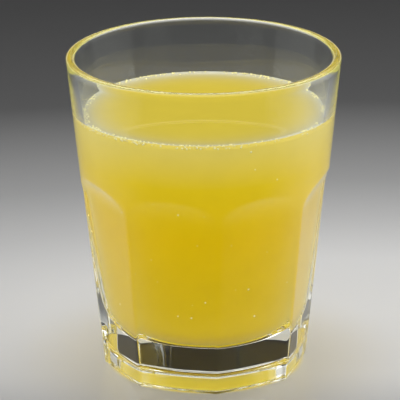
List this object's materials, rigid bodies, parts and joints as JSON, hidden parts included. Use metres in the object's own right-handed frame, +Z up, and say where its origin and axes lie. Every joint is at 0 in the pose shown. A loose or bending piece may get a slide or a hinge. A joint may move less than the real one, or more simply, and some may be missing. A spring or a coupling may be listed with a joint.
{
  "type": "glass of lemon juice",
  "caption": "Tumbler with flat panels below a round upper wall and a thick base, filled with lemon juice to just under the rim.",
  "frame": {"origin": "middle of the underside, on the surface that the glass stands on", "axes": "+Z up along the middle of the glass; -Y faces the middle of a panel"},
  "size_m": [0.0848, 0.0848, 0.1],
  "materials": {
    "clear_glass": "clear, polished",
    "lemon_juice": "cloudy yellow liquid, wet"
  },
  "bodies": {
    "root": {"glass": "clear_glass", "lemon_juice": "lemon_juice"}
  },
  "joints": []
}
